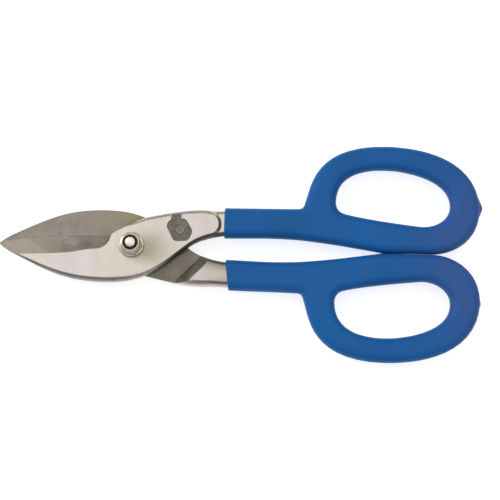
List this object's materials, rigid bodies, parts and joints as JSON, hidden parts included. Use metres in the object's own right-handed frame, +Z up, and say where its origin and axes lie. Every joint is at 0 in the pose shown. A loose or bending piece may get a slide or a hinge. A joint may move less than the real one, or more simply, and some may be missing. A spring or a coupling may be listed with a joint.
{
  "type": "tinner's snips",
  "caption": "Straight-pattern tinner's snips: forged jaws crossed at a bolted pivot, with looped handles dipped in blue vinyl.",
  "frame": {"origin": "middle of the bottom of the closed snips' box, on the surface that they lie on", "axes": "+X from the tips towards the handles' loops, +Y across the tool, on the side of the front half's handle, +Z up along the pivot, out of the nut's end"},
  "size_m": [0.305, 0.1388, 0.0313],
  "materials": {
    "forged_steel": "ground and polished drop-forged steel",
    "blue_vinyl": "satin dipped vinyl",
    "zinc_steel": "yellowish zinc plating",
    "dark_nylon": "matte nylon"
  },
  "bodies": {
    "front_half": {"front_blade": "forged_steel", "front_grip": "blue_vinyl"},
    "rear_half": {"rear_blade": "forged_steel", "rear_grip": "blue_vinyl", "pivot_bolt": "zinc_steel", "lock_nut": "zinc_steel", "lock_nut_insert": "dark_nylon", "front_washer": "zinc_steel", "rear_washer": "zinc_steel"}
  },
  "joints": [
    {"name": "pivot", "type": "hinge", "parent": "front_half", "child": "rear_half", "pos_m": [-0.0685, 0, 0.0138], "axis": [0, 0, -1], "range_deg": [0, 60]}
  ]
}
